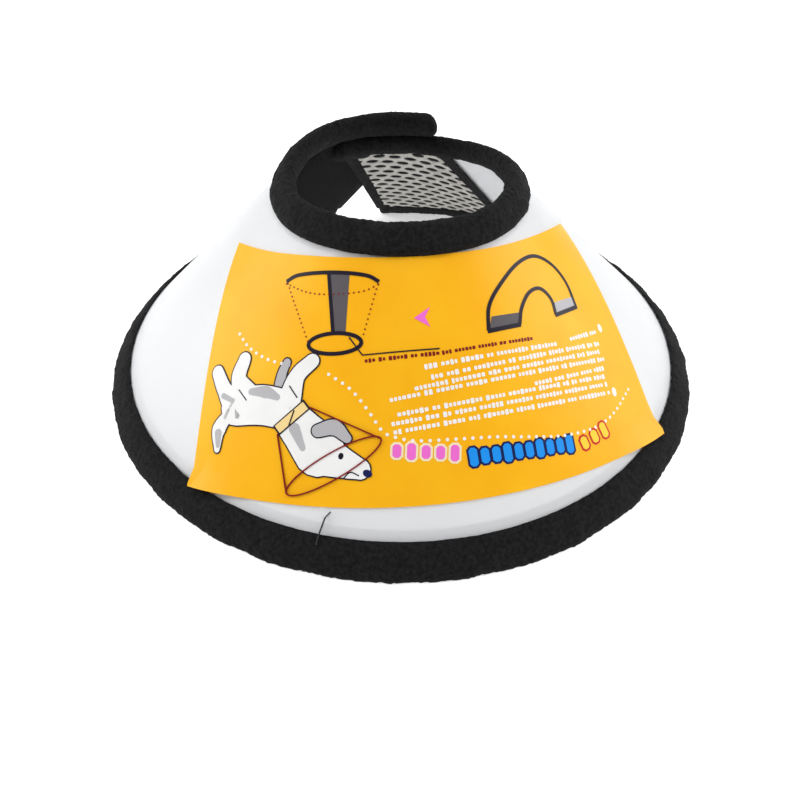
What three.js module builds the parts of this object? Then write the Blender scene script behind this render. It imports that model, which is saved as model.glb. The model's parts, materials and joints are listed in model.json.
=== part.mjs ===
// Elizabethan collar: a soft-edged recovery cone for a small pet, shown closed and lying on its rim.
// Millimetres, +Z up along the cone's axis, rim on z = 0, the front of the collar towards -Y.
//
// The collar is one flat sheet rolled into a cone. It is described in the sheet's own terms:
//   turn   degrees round the axis from the front, positive to the right (+X)
//   slant  distance from the cone's apex down the wall
//   out    distance from the sheet's middle surface, positive outwards
// The sheet bends where it is held by nothing else, so it is split there into five stiff panels.
import * as THREE from 'three';

// ---- driving dimensions -------------------------------------------------------------------
const RIM_RADIUS = 110;            // middle of the rim binding
const RIM_HEIGHT = 3.45;
const NECK_RADIUS = 41.4;          // middle of the neck binding
const NECK_HEIGHT = 63.7;

const SHEET = { half: 0.25, topInset: 2.6, bottomInset: 3.1 };
const GAP = 0.3;                   // clearance between pieces that touch on the real collar
const EDGE_MARGIN = 1;             // between an edge binding and whatever is sewn next to it
const NECK_BINDING = { halfLength: 5.1, halfThickness: 3.4, lapHalfLength: 4.7, lapHalfThickness: 2.8 };
const RIM_BINDING = { halfLength: 5.7, halfThickness: 1.8 };
const END_BINDING = { width: 6.0, halfThickness: 1.3, gap: 0.6, fold: 1 };
const LAP_GAP = 0.5;               // the same clearance on the flaps, whose walls also twist
const TAPE_THICKNESS = 0.6;
const CARD_THICKNESS = 0.4;

// Bend lines, in degrees of turn, and how far each one opens.
const LEFT_BEND = -72;
const PEEL_BEND = -125;
const RIGHT_BEND = 89.5;
const INNER_BEND = 135;
const BEND_RELIEF = { axisOut: 1.5, slope: Math.tan(THREE.MathUtils.degToRad(31)), gap: 0.2 };

// Where the sewn edges end, in degrees of turn.
const OUTER_NECK_END = -203;
const INNER_NECK_END = 212;

// Both free ends are straight cuts. `miss` is how far the cut line passes from the apex of the
// flat pattern and `lean` is the line's direction from the back centre line, in flat degrees.
const OUTER_CUT = { miss: 31.7, lean: -26.5, sign: 1 };
const INNER_CUT = { miss: 31, lean: 7.4, sign: -1 };
const MESH_CUT = { miss: 14, lean: 29.1, sign: -1 };
const LOOP_TAPE = { start: -128 };
const HOOK_TAPE = { start: 162, topInset: 2, bottomInset: 12 };

// The outer flap rides up over the inner one. The neck is drawn in on the inner flap's side, and
// the inner flap's rim is pulled in under the outer one. The right of the neck sits a little high.
const OUTER_LAP = { from: 45, full: 135, lift: 9.8, standOff: 0.7 };
const RIGHT_RISE = { from: 30, full: 90, lift: 2.2, fade: 115, gone: 155 };
const NECK_SQUEEZE = { from: 20, full: 160, standOff: -2.8 };
const INNER_LAP = { from: 105, full: 165, lift: 3.4, standOff: -3.0 };

// The printed card, as a flat blank: a trapezoid with bowed top and bottom edges.
const CARD = { topWidth: 134, bottomWidth: 157.6, height: 79.7, topBow: 20.6, bottomBow: 11.9,
  tilt: 6, topX: 4.65, topY: -39, gap: 0.6, rows: 8, columns: 36 };

// Fineness of the faceted solids.
const DEGREES_PER_STEP = { plain: 6, flap: 4 };
const SLANT_STEPS = 8;
const OVAL_STEPS = 11;

// ---- the cone -----------------------------------------------------------------------------
const HALF_ANGLE = Math.atan2(RIM_RADIUS - NECK_RADIUS, NECK_HEIGHT - RIM_HEIGHT);
const SIN = Math.sin(HALF_ANGLE);
const COS = Math.cos(HALF_ANGLE);
const APEX_HEIGHT = NECK_HEIGHT + NECK_RADIUS / Math.tan(HALF_ANGLE);
const NECK_SLANT = NECK_RADIUS / SIN;
const RIM_SLANT = RIM_RADIUS / SIN;
const SHEET_TOP = NECK_SLANT - SHEET.topInset;
const SHEET_BOTTOM = RIM_SLANT + SHEET.bottomInset;
const PATCH_TOP = NECK_SLANT + NECK_BINDING.halfLength + EDGE_MARGIN;
const PATCH_BOTTOM = RIM_SLANT - RIM_BINDING.halfLength - EDGE_MARGIN;

const rad = THREE.MathUtils.degToRad;
const deg = THREE.MathUtils.radToDeg;
const { lerp, smoothstep } = THREE.MathUtils;

// How far the wall at this turn slides up the slant and stands off the true cone.
function lap(turn, slant) {
  const down = (slant - NECK_SLANT) / (RIM_SLANT - NECK_SLANT);
  const weigh = (rule, share) => smoothstep(Math.abs(turn), rule.from, rule.full) * share;
  if (turn < 0) {
    const outer = weigh(OUTER_LAP, 1 - down);
    return { lift: OUTER_LAP.lift * outer, standOff: OUTER_LAP.standOff * outer };
  }
  const inner = weigh(INNER_LAP, down);
  const squeeze = NECK_SQUEEZE.standOff * weigh(NECK_SQUEEZE, 1 - down);
  const stays = 1 - smoothstep(turn, RIGHT_RISE.fade, RIGHT_RISE.gone);
  const rise = RIGHT_RISE.lift * weigh(RIGHT_RISE, 1 - down) * stays;
  return { lift: INNER_LAP.lift * inner + rise, standOff: INNER_LAP.standOff * inner + squeeze };
}

// A point of the rolled sheet. Nothing of the rim goes below the table.
function wall(turn, slant, out) {
  const { lift, standOff } = lap(turn, slant);
  const along = slant - lift;
  const off = out + standOff;
  const radius = along * SIN + off * COS;
  const height = APEX_HEIGHT - along * COS + off * SIN;
  return new THREE.Vector3(
    radius * Math.sin(rad(turn)), -radius * Math.cos(rad(turn)), Math.max(0, height));
}

// Turn of a straight cut in the flat sheet at a given slant.
function cutTurn(cut, slant, fromBack) {
  const flat = cut.lean + cut.sign * deg(Math.asin(cut.miss / slant));
  return fromBack - flat / SIN;
}
const outerCut = (slant) => cutTurn(OUTER_CUT, slant, -180);
const innerCut = (slant) => cutTurn(INNER_CUT, slant, 180);
const meshCut = (slant) => cutTurn(MESH_CUT, slant, 180);

// Degrees of turn that cover a distance in millimetres round the wall.
const turnOf = (distance, slant) => deg(distance / (slant * SIN));

// The end of a panel at a bend line, relieved outside so that the two panels can fold outwards.
function bendEnd(turn, side) {
  return (slant, out) => {
    const relief = Math.max(0, out - BEND_RELIEF.axisOut) * BEND_RELIEF.slope;
    return turn + side * turnOf(BEND_RELIEF.gap + relief, slant);
  };
}
const level = (turn) => () => turn;

// ---- solids -------------------------------------------------------------------------------
// Sweeps a closed outline of [a, b] points along t = 0..1 and closes both ends. A band's ends
// are closed rung by rung, because a cut end follows a curve.
function sweep(points, steps, place, closeEnd = earEnd) {
  const flat = points.map(([a, b]) => new THREE.Vector2(a, b));
  const outline = THREE.ShapeUtils.isClockWise(flat) ? [...points].reverse() : points;
  const count = outline.length;
  const positions = [];
  for (let row = 0; row <= steps; row += 1) {
    for (const [a, b] of outline) positions.push(...place(a, b, row / steps).toArray());
  }
  const indices = [];
  for (let row = 0; row < steps; row += 1) {
    for (let i = 0; i < count; i += 1) {
      const here = row * count + i;
      const next = row * count + (i + 1) % count;
      indices.push(here, next, next + count, here, next + count, here + count);
    }
  }
  const last = steps * count;
  for (const [i, j, k] of closeEnd(outline)) {
    indices.push(k, j, i, last + i, last + j, last + k);
  }
  if (signedVolume(positions, indices) < 0) indices.reverse();
  const geometry = new THREE.BufferGeometry();
  geometry.setAttribute('position', new THREE.Float32BufferAttribute(positions, 3));
  geometry.setIndex(indices);
  geometry.computeVertexNormals();
  return geometry;
}

function earEnd(outline) {
  return THREE.ShapeUtils.triangulateShape(outline.map(([a, b]) => new THREE.Vector2(a, b)), []);
}

function rungEnd(outline) {
  const triangles = [];
  for (let i = 0; i < outline.length / 2 - 1; i += 1) {
    const across = outline.length - 1 - i;
    triangles.push([i, i + 1, across - 1], [i, across - 1, across]);
  }
  return triangles;
}

function signedVolume(positions, indices) {
  const corner = (i) => new THREE.Vector3().fromArray(positions, 3 * indices[i]);
  let volume = 0;
  for (let i = 0; i < indices.length; i += 3) {
    volume += corner(i).dot(corner(i + 1).cross(corner(i + 2))) / 6;
  }
  return volume;
}

// A piece that runs round the cone: its outline is [slant, out], its ends are functions of them.
function roundTheCone(outline, start, end, closeEnd) {
  const first = start(NECK_SLANT, 0);
  const last = end(NECK_SLANT, 0);
  const onFlap = first < PEEL_BEND || last > INNER_BEND;
  const perStep = onFlap ? DEGREES_PER_STEP.flap : DEGREES_PER_STEP.plain;
  const steps = Math.ceil((last - first) / perStep);
  return sweep(outline, steps, (slant, out, t) => (
    wall(lerp(start(slant, out), end(slant, out), t), slant, out)), closeEnd);
}

// A band between two slants and two distances out from the sheet.
function band(top, bottom, low, high, slantSteps = 1) {
  const slants = [];
  for (let i = 0; i <= slantSteps; i += 1) slants.push(lerp(top, bottom, i / slantSteps));
  return [...slants.map((s) => [s, low]), ...slants.reverse().map((s) => [s, high])];
}

// A folded tape round an edge of the sheet: an oval with a slot that opens at `mouth`,
// +1 down the slant for the neck and -1 up the slant for the rim.
function foldedTape(centre, halfLength, halfThickness, sheetEdge, mouth, gap = GAP) {
  const slot = SHEET.half + gap;
  const start = Math.asin(slot / halfThickness);
  const points = [];
  for (let i = 0; i <= OVAL_STEPS; i += 1) {
    const angle = lerp(start, 2 * Math.PI - start, i / OVAL_STEPS);
    points.push([centre + mouth * halfLength * Math.cos(angle), halfThickness * Math.sin(angle)]);
  }
  const floor = sheetEdge - mouth * GAP;
  return [...points, [floor, -slot], [floor, slot]];
}

function neckBinding(start, end, lapped = false) {
  const { halfLength, halfThickness, lapHalfLength, lapHalfThickness } = NECK_BINDING;
  const outline = lapped
    ? foldedTape(NECK_SLANT, lapHalfLength, lapHalfThickness, SHEET_TOP, 1, LAP_GAP)
    : foldedTape(NECK_SLANT, halfLength, halfThickness, SHEET_TOP, 1);
  return roundTheCone(outline, start, end);
}

function rimBinding(start, end) {
  const { halfLength, halfThickness } = RIM_BINDING;
  const outline = foldedTape(RIM_SLANT, halfLength, halfThickness, SHEET_BOTTOM, -1);
  return roundTheCone(outline, start, end);
}

function sheetPanel(start, end, slantSteps = 1) {
  const outline = band(SHEET_TOP, SHEET_BOTTOM, -SHEET.half, SHEET.half, slantSteps);
  return roundTheCone(outline, start, end, rungEnd);
}

// A patch sewn to one face of the sheet: side +1 outside, -1 inside.
function patch(top, bottom, start, end, side) {
  const near = SHEET.half + LAP_GAP;
  const far = near + TAPE_THICKNESS;
  const [low, high] = side > 0 ? [near, far] : [-far, -near];
  return roundTheCone(band(top, bottom, low, high, SLANT_STEPS), start, end, rungEnd);
}

// A narrow tape folded over a straight free end, between the two edge bindings.
function endBinding(cut, inward, top) {
  const { width, halfThickness, gap, fold } = END_BINDING;
  const slot = SHEET.half + gap;
  const outline = [
    [-fold, -halfThickness], [-fold, halfThickness], [width, halfThickness], [width, slot],
    [0, slot], [0, -slot], [width, -slot], [width, -halfThickness],
  ];
  return sweep(outline, 2 * SLANT_STEPS, (across, out, t) => {
    const slant = lerp(top, PATCH_BOTTOM, t);
    return wall(cut(slant) + inward * turnOf(across - gap, slant), slant, out);
  });
}

// The flat card rolled onto the cone, kept between the two edge bindings.
function cardGeometry() {
  const low = SHEET.half + CARD.gap;
  const across = new THREE.Vector2(Math.cos(rad(CARD.tilt)), Math.sin(rad(CARD.tilt)));
  const down = new THREE.Vector2(across.y, -across.x);
  const topCentre = new THREE.Vector2(CARD.topX, CARD.topY);
  const outline = [];
  const { rows, columns } = CARD;
  for (let i = 0; i <= rows; i += 1) outline.push([i / rows, low]);
  for (let i = rows; i >= 0; i -= 1) outline.push([i / rows, low + CARD_THICKNESS]);
  return sweep(outline, columns, (v, out, t) => {
    const width = lerp(CARD.topWidth, CARD.bottomWidth, v);
    const bow = lerp(CARD.topBow, CARD.bottomBow, v) * (1 - (2 * t - 1) ** 2);
    const flat = topCentre.clone()
      .addScaledVector(across, (t - 0.5) * width)
      .addScaledVector(down, v * CARD.height + bow);
    const slant = THREE.MathUtils.clamp(flat.length(), PATCH_TOP, PATCH_BOTTOM);
    return wall(deg(Math.atan2(flat.x, -flat.y)) / SIN, slant, out);
  }, rungEnd);
}

// ---- materials ----------------------------------------------------------------------------
const plastic = () => new THREE.MeshStandardMaterial({ color: '#f3f4f6', roughness: 0.42 });
const fleece = () => new THREE.MeshStandardMaterial({ color: '#1d1d1e', roughness: 0.95 });
const ribbed = () => new THREE.MeshStandardMaterial({ color: '#222224', roughness: 0.9 });
const hook = () => new THREE.MeshStandardMaterial({ color: '#2a2a2c', roughness: 0.7 });
const mesh = () => new THREE.MeshStandardMaterial({ color: '#c8c5be', roughness: 0.8 });
const printed = () => new THREE.MeshStandardMaterial({ color: '#ffbb1d', roughness: 0.45 });

// ---- assembly -----------------------------------------------------------------------------
const collar = new THREE.Group();

function add(name, geometry, material) {
  const piece = new THREE.Mesh(geometry, material);
  piece.name = name;
  collar.add(piece);
}

// The inside edge of an end binding's fold, where a patch may start.
const clearOf = (cut, inward) => (slant) => (
  cut(slant) + inward * turnOf(END_BINDING.width + GAP, slant));

const besideMesh = (distance) => (slant) => meshCut(slant) - turnOf(distance, slant);

const panels = [
  { name: 'front', start: bendEnd(LEFT_BEND, 1), end: bendEnd(RIGHT_BEND, -1) },
  { name: 'left_side', start: bendEnd(PEEL_BEND, 1), end: bendEnd(LEFT_BEND, -1) },
  { name: 'outer_flap', start: outerCut, end: bendEnd(PEEL_BEND, -1), neckEnd: OUTER_NECK_END },
  { name: 'right_side', start: bendEnd(RIGHT_BEND, 1), end: bendEnd(INNER_BEND, -1) },
  { name: 'inner_flap', start: bendEnd(INNER_BEND, 1), end: innerCut, neckEnd: INNER_NECK_END },
];

for (const { name, start, end, neckEnd } of panels) {
  const isFlap = neckEnd !== undefined;
  add(`${name}_sheet`, sheetPanel(start, end, isFlap ? SLANT_STEPS : 1), plastic());
  const neckStart = neckEnd < 0 ? level(neckEnd) : start;
  const neckStop = neckEnd > 0 ? level(neckEnd) : end;
  add(`${name}_neck_binding`, neckBinding(neckStart, neckStop, isFlap), fleece());
  const rimStart = neckEnd < 0 ? level(outerCut(RIM_SLANT)) : start;
  const rimStop = neckEnd > 0 ? level(innerCut(RIM_SLANT)) : end;
  add(`${name}_rim_binding`, rimBinding(rimStart, rimStop), fleece());
}

// The outer flap's lining starts below the inner flap's neck binding, which lies under it.
const lappedTop = PATCH_TOP + OUTER_LAP.lift;
add('outer_flap_end_binding', endBinding(outerCut, 1, lappedTop), fleece());
add('inner_flap_end_binding', endBinding(innerCut, -1, PATCH_TOP), fleece());
add('loop_tape', patch(lappedTop, PATCH_BOTTOM, clearOf(outerCut, 1), level(LOOP_TAPE.start), -1),
  ribbed());
add('hook_tape', patch(PATCH_TOP + HOOK_TAPE.topInset, PATCH_BOTTOM - HOOK_TAPE.bottomInset,
  level(HOOK_TAPE.start), clearOf(innerCut, -1), 1), hook());
add('mesh_facing', patch(PATCH_TOP, PATCH_BOTTOM, meshCut, clearOf(innerCut, -1), -1), mesh());
add('mesh_side_border', patch(PATCH_TOP, PATCH_BOTTOM, besideMesh(END_BINDING.width),
  besideMesh(GAP), -1), fleece());
add('printed_card', cardGeometry(), printed());

// The origin is under the middle of the collar's box.
collar.updateMatrixWorld(true);
const middle = new THREE.Box3().setFromObject(collar).getCenter(new THREE.Vector3());
collar.position.set(-middle.x, -middle.y, 0);

export default collar;
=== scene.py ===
# Elizabethan collar: the visual model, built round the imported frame. Everything is in the row
# frame; lengths here are in millimetres until wall() turns them into metres.
import json
import math
import random

import bmesh
import bpy
import numpy as np
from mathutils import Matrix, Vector, noise


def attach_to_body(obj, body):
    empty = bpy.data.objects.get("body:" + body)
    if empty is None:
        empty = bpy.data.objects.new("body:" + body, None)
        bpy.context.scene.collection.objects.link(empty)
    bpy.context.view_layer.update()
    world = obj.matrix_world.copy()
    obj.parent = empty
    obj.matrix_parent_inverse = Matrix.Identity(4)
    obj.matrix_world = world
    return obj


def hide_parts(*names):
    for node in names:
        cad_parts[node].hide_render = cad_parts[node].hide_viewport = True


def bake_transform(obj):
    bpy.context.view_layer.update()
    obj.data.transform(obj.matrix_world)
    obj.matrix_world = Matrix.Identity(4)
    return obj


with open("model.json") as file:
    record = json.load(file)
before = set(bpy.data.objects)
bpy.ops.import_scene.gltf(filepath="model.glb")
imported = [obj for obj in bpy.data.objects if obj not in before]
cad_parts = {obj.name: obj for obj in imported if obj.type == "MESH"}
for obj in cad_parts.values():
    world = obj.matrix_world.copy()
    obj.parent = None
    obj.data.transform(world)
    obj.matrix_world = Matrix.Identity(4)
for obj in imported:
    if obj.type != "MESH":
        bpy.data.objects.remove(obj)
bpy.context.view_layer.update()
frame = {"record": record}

MM = 0.001
JOINTS = {joint["name"]: joint for joint in frame["record"]["behaviour"]["joints"]}

# ---- driving dimensions, the same as the CAD part's ----------------------------------------
RIM_RADIUS, NECK_RADIUS = 110.0, 41.4
RIM_HEIGHT, NECK_HEIGHT = 3.45, 63.7
LEFT_BEND, PEEL_BEND, RIGHT_BEND, INNER_BEND = -72.0, -125.0, 89.5, 135.0
BEND_OUT = 1.5           # the bend lines lie this far outside the sheet
LOOP_START, HOOK_START = -128.0, 162.0      # turns where the two tapes begin
OUTER_NECK_END, INNER_NECK_END = -203.0, 212.0
OUTER_CUT = dict(miss=31.7, lean=-26.5, sign=1, back=-180)
INNER_CUT = dict(miss=31.0, lean=7.4, sign=-1, back=180)
MESH_CUT = dict(miss=14.0, lean=29.1, sign=-1, back=180)
OUTER_LAP = dict(start=45, full=135, lift=9.8, stand_off=0.7)
RIGHT_RISE = dict(start=30, full=90, lift=2.2, fade=115, gone=155)
NECK_SQUEEZE = dict(start=20, full=160, stand_off=-2.8)
INNER_LAP = dict(start=105, full=165, lift=3.4, stand_off=-3.0)
CARD = dict(top=134, bottom=157.6, height=79.7, top_bow=20.6, bottom_bow=11.9, tilt=6,
            x=4.65, y=-39)

HALF_ANGLE = math.atan2(RIM_RADIUS - NECK_RADIUS, NECK_HEIGHT - RIM_HEIGHT)
SIN, COS = math.sin(HALF_ANGLE), math.cos(HALF_ANGLE)
APEX_HEIGHT = NECK_HEIGHT + NECK_RADIUS / math.tan(HALF_ANGLE)
NECK_SLANT, RIM_SLANT = NECK_RADIUS / SIN, RIM_RADIUS / SIN


# ---- the rolled sheet ----------------------------------------------------------------------
def smoothstep(x, low, high):
    t = np.clip((x - low) / (high - low), 0, 1)
    return t * t * (3 - 2 * t)


def from_axis(turn, slant, out):
    """Points of the rolled sheet, in metres from the foot of the cone's axis."""
    turn, slant, out = np.broadcast_arrays(*(np.asarray(v, float) for v in (turn, slant, out)))
    down = (slant - NECK_SLANT) / (RIM_SLANT - NECK_SLANT)
    left = turn < 0
    outer = smoothstep(-turn, OUTER_LAP["start"], OUTER_LAP["full"]) * (1 - down) * left
    inner = smoothstep(turn, INNER_LAP["start"], INNER_LAP["full"]) * down * ~left
    squeeze = smoothstep(turn, NECK_SQUEEZE["start"], NECK_SQUEEZE["full"]) * (1 - down) * ~left
    rise = (smoothstep(turn, RIGHT_RISE["start"], RIGHT_RISE["full"]) * (1 - down) * ~left
            * (1 - smoothstep(turn, RIGHT_RISE["fade"], RIGHT_RISE["gone"])))
    along = (slant - outer * OUTER_LAP["lift"] - inner * INNER_LAP["lift"]
             - rise * RIGHT_RISE["lift"])
    off = (out + outer * OUTER_LAP["stand_off"] + inner * INNER_LAP["stand_off"]
           + squeeze * NECK_SQUEEZE["stand_off"])
    radius = along * SIN + off * COS
    height = np.maximum(0, APEX_HEIGHT - along * COS + off * SIN)
    angle = np.radians(turn)
    return MM * np.stack([radius * np.sin(angle), -radius * np.cos(angle), height], axis=-1)


def axis_foot():
    """Where the cone's axis stands, from the top of the left bend line."""
    x, y, _ = JOINTS["left_side_bend"]["pos_m"]
    top = from_axis(LEFT_BEND, NECK_SLANT, BEND_OUT)
    return np.array((x - top[0], y - top[1], 0))


AXIS = axis_foot()


def wall(turn, slant, out):
    """Points of the rolled sheet in metres, from degrees of turn, slant distance and offset."""
    return from_axis(turn, slant, out) + AXIS


def cut_turn(cut, slant):
    """Turn of a straight cut in the flat sheet at a given slant."""
    flat = cut["lean"] + cut["sign"] * np.degrees(np.arcsin(cut["miss"] / slant))
    return cut["back"] - flat / SIN


def turn_of(distance, slant):
    """Degrees of turn that cover a distance round the wall."""
    return np.degrees(distance / (slant * SIN))


# ---- the zones: each one follows one body, or lies across one joint between two ------------
OUTER_SPLIT = (PEEL_BEND + LEFT_BEND) / 2
INNER_SPLIT = (RIGHT_BEND + INNER_BEND) / 2
ZONES = {
    "outer_flap": dict(low=None, high=OUTER_SPLIT, joint="flap_peel", bend=PEEL_BEND,
                       bodies=("outer_flap", "left_side")),
    "left_side": dict(low=OUTER_SPLIT, high=-36.0, joint="left_side_bend", bend=LEFT_BEND,
                      bodies=("left_side", "front")),
    "front": dict(low=-36.0, high=54.0, bodies=("front",)),
    "right_side": dict(low=54.0, high=INNER_SPLIT, joint="right_side_bend", bend=RIGHT_BEND,
                       bodies=("front", "right_side")),
    "inner_flap": dict(low=INNER_SPLIT, high=None, joint="inner_flap_bend", bend=INNER_BEND,
                       bodies=("right_side", "inner_flap")),
}


def attach(obj, zone_name):
    """Makes a finished piece follow its zone's one body, or bakes it in place across a joint."""
    zone = ZONES[zone_name]
    if len(zone["bodies"]) == 1:
        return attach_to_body(obj, zone["bodies"][0])
    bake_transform(obj)
    return obj


# ---- meshes --------------------------------------------------------------------------------
def new_object(name, points, faces, materials, smooth=True):
    mesh = bpy.data.meshes.new(name)
    mesh.from_pydata(points.reshape(-1, 3).tolist(), [], faces)
    for material in materials:
        mesh.materials.append(material)
    mesh.polygons.foreach_set("use_smooth", [smooth] * len(mesh.polygons))
    mesh.set_sharp_from_angle(angle=math.radians(50))
    mesh.update()
    obj = bpy.data.objects.new(name, mesh)
    bpy.context.scene.collection.objects.link(obj)
    return obj


def outward(points, faces):
    """The faces, turned over if the closed mesh is inside out."""
    flat = points.reshape(-1, 3)
    origin = flat.mean(0)
    volume = 0.0
    for face in faces:
        a = flat[face[0]] - origin
        for i in range(1, len(face) - 1):
            volume += a @ np.cross(flat[face[i]] - origin, flat[face[i + 1]] - origin)
    return faces if volume > 0 else [face[::-1] for face in faces]


def sweep(name, outline, stations, place, material, rungs=False):
    """A closed piece: an outline of (a, b) points carried along the stations by place."""
    outline = np.asarray(outline, float)
    points = place(outline[None, :, 0], outline[None, :, 1], np.asarray(stations)[:, None])
    rows, count = points.shape[:2]
    faces = []
    for row in range(rows - 1):
        for i in range(count):
            here, after = row * count + i, row * count + (i + 1) % count
            faces.append((here, after, after + count, here + count))
    for start, turned in ((0, True), ((rows - 1) * count, False)):
        if rungs:
            ends = [(start + i, start + i + 1, start + count - 2 - i, start + count - 1 - i)
                    for i in range(count // 2 - 1)]
        else:
            ends = [tuple(range(start, start + count))]
        faces += [end[::-1] if turned else end for end in ends]
    return new_object(name, points, outward(points, faces), [material])


def band(top, bottom, low, high, rows):
    slants = np.linspace(top, bottom, rows + 1)
    near = [(s, low) for s in slants]
    return near + [(s, high) for s in slants[::-1]]


def stations_for(start, end, spacing, slant):
    """Evenly spaced parameters from 0 to 1 for a run between two turns."""
    length = math.radians(abs(end - start)) * slant * SIN
    return np.linspace(0, 1, max(3, math.ceil(length / spacing)) + 1)


def rough(points, waves):
    """A height for each point, summed from (wavelength, amplitude) waves of noise, in mm."""
    flat = points.reshape(-1, 3) / MM
    height = np.zeros(len(flat))
    for wavelength, amplitude in waves:
        scaled = flat / wavelength
        height += amplitude * np.array([noise.noise(Vector(p)) for p in scaled])
    return height.reshape(points.shape[:-1])


# ---- materials -----------------------------------------------------------------------------
def material(name, color, roughness, **values):
    made = bpy.data.materials.new(name)
    made.use_nodes = True
    shader = made.node_tree.nodes["Principled BSDF"]
    shader.inputs["Base Color"].default_value = (*color, 1)
    shader.inputs["Roughness"].default_value = roughness
    for key, value in values.items():
        shader.inputs[key.replace("_", " ")].default_value = value
    return made


def node(made, kind, **settings):
    made_node = made.node_tree.nodes.new(kind)
    for key, value in settings.items():
        if key in made_node.inputs:
            made_node.inputs[key].default_value = value
        else:
            setattr(made_node, key, value)
    return made_node


def noise_node(made, scale, detail=4.0, stretch=(1, 1, 1)):
    links = made.node_tree.links
    where = node(made, "ShaderNodeTexCoord")
    mapping = node(made, "ShaderNodeMapping")
    mapping.inputs["Scale"].default_value = stretch
    grain = node(made, "ShaderNodeTexNoise", Scale=scale, Detail=detail)
    links.new(where.outputs["Object"], mapping.inputs["Vector"])
    links.new(mapping.outputs["Vector"], grain.inputs["Vector"])
    return grain


def vary_color(made, grain, low, high, near=0.35, far=0.65):
    ramp = node(made, "ShaderNodeValToRGB")
    ramp.color_ramp.elements[0].position = near
    ramp.color_ramp.elements[1].position = far
    ramp.color_ramp.elements[0].color = (*low, 1)
    ramp.color_ramp.elements[1].color = (*high, 1)
    links = made.node_tree.links
    links.new(grain.outputs["Fac"], ramp.inputs["Fac"])
    links.new(ramp.outputs["Color"], made.node_tree.nodes["Principled BSDF"].inputs["Base Color"])


def vary_roughness(made, grain, low, high):
    spread = node(made, "ShaderNodeMapRange")
    spread.inputs["To Min"].default_value = low
    spread.inputs["To Max"].default_value = high
    links = made.node_tree.links
    links.new(grain.outputs["Fac"], spread.inputs["Value"])
    links.new(spread.outputs["Result"], made.node_tree.nodes["Principled BSDF"].inputs["Roughness"])


def add_bump(made, grain, distance, strength=1.0):
    bump = node(made, "ShaderNodeBump", Distance=distance, Strength=strength)
    links = made.node_tree.links
    links.new(grain.outputs["Fac"], bump.inputs["Height"])
    links.new(bump.outputs["Normal"], made.node_tree.nodes["Principled BSDF"].inputs["Normal"])


def sheet_plastic():
    made = material("frosted_plastic", (0.93, 0.94, 0.955), 0.4, Transmission_Weight=0.35,
                    IOR=1.3)
    vary_roughness(made, noise_node(made, 90, 3), 0.34, 0.48)
    add_bump(made, noise_node(made, 1400, 2), 0.00003)
    return made


def fleece():
    made = material("black_fleece", (0.01, 0.01, 0.0105), 0.95, Sheen_Weight=0.03,
                    Sheen_Roughness=0.6, Specular_IOR_Level=0.15)
    made.node_tree.nodes["Principled BSDF"].inputs["Sheen Tint"].default_value = (0.6, 0.6, 0.63, 1)
    vary_color(made, noise_node(made, 900, 6), (0.004, 0.004, 0.0042), (0.013, 0.013, 0.0134))
    add_bump(made, noise_node(made, 2600, 5), 0.00025)
    return made


def loop_pile():
    made = material("loop_pile", (0.01, 0.01, 0.011), 0.9, Sheen_Weight=0.02,
                    Specular_IOR_Level=0.1)
    vary_color(made, noise_node(made, 1500, 6), (0.003, 0.003, 0.0034), (0.010, 0.010, 0.0106))
    add_bump(made, noise_node(made, 3200, 5), 0.0002)
    return made


def mesh_knit():
    made = material("mesh_knit", (0.56, 0.54, 0.50), 0.75, Sheen_Weight=0.1)
    vary_color(made, noise_node(made, 260, 5), (0.50, 0.48, 0.44), (0.63, 0.61, 0.57))
    add_bump(made, noise_node(made, 3800, 3), 0.00012)
    return made


def card_stock():
    made = material("printed_card", (1.0, 0.5, 0.008), 0.4, Specular_IOR_Level=0.18)
    vary_color(made, noise_node(made, 55, 8), (0.98, 0.46, 0.004), (1.0, 0.51, 0.008))
    add_bump(made, noise_node(made, 2000, 3), 0.00002)
    return made


def ink(name, color):
    made = material(f"ink_{name}", color, 0.4, Specular_IOR_Level=0.18)
    low = tuple(c * 0.95 for c in color)
    vary_color(made, noise_node(made, 120, 6), low, color)
    return made


def hook_plastic():
    made = material("hook_plastic", (0.014, 0.014, 0.015), 0.5)
    vary_roughness(made, noise_node(made, 600, 3), 0.42, 0.6)
    return made


def thread():
    made = material("black_thread", (0.012, 0.012, 0.012), 0.55)
    add_bump(made, noise_node(made, 2400, 2, (1, 6, 1)), 0.0001)
    return made


PLASTIC, FLEECE, LOOPS, HOOKS, KNIT, STOCK, THREAD = (
    sheet_plastic(), fleece(), loop_pile(), hook_plastic(), mesh_knit(), card_stock(), thread())
INKS = {
    "black": ink("black", (0.012, 0.008, 0.02)),
    "white": ink("white", (0.93, 0.93, 0.92)),
    "grey": ink("grey", (0.11, 0.10, 0.11)),
    "silver": ink("silver", (0.50, 0.49, 0.51)),
    "red": ink("red", (0.62, 0.01, 0.012)),
    "wine": ink("wine", (0.23, 0.012, 0.01)),
    "blue": ink("blue", (0.012, 0.30, 0.90)),
    "navy": ink("navy", (0.008, 0.012, 0.09)),
    "pink": ink("pink", (0.93, 0.17, 0.68)),
    "cream": ink("cream", (0.95, 0.72, 0.32)),
    "yellow": ink("yellow", (1.0, 0.68, 0.04)),
    "pale": ink("pale", (0.97, 0.86, 0.55)),
}

# ---- the sheet and its bindings ------------------------------------------------------------
SHEET_HALF = 0.25
SHEET_TOP, SHEET_BOTTOM = NECK_SLANT - 2.6, RIM_SLANT + 3.1
SLOT = 0.5               # half the gap in a folded binding
CORNER_COVER = 9         # degrees that the inner neck binding runs on to cover the sheet's corner
FLEECE_WAVES = ((7.0, 0.42), (1.6, 0.24), (0.8, 0.24))
TAPE_WAVES = ((4.0, 0.12), (1.0, 0.10))      # wavelength, height


def level(turn):
    return lambda slant: turn + 0 * slant


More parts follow.
